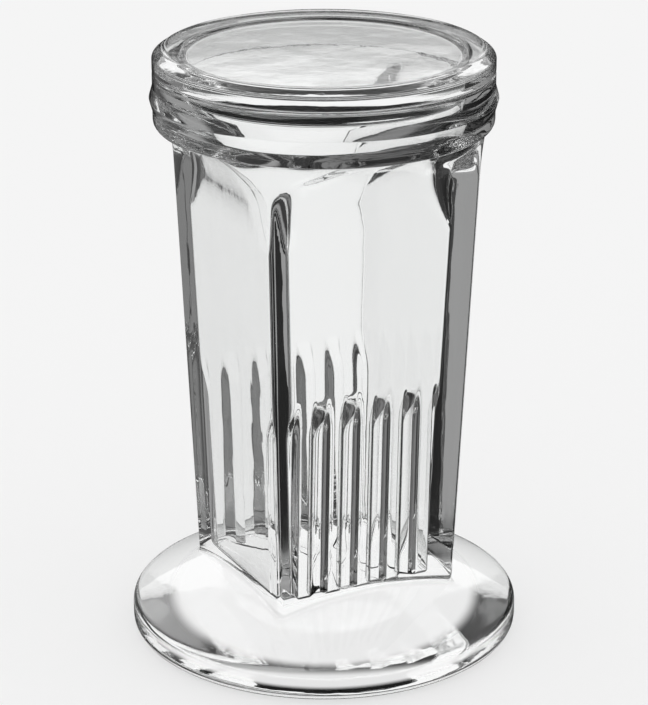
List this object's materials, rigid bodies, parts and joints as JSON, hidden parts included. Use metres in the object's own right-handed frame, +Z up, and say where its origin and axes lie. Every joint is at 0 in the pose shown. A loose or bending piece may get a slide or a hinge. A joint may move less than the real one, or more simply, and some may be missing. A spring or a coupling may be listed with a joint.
{
  "type": "slide staining jar",
  "caption": "Clear pressed-glass jar with a round foot, square leaning body, ribbed slots for upright microscope slides, round neck and a loose glass lid.",
  "frame": {"origin": "centre of the foot's underside, on the table", "axes": "+Z up along the jar's axis; +X along the row of slots, across the plain end walls; +Y across a slide's width, from one ribbed wall to the other"},
  "size_m": [0.071, 0.071, 0.1094],
  "materials": {
    "jar_glass": "clear pressed glass, fire polished, with slight waviness",
    "lid_glass": "clear pressed glass, fire polished, with slight waviness"
  },
  "bodies": {
    "root": {"jar": "jar_glass", "lid": "lid_glass"}
  },
  "joints": []
}
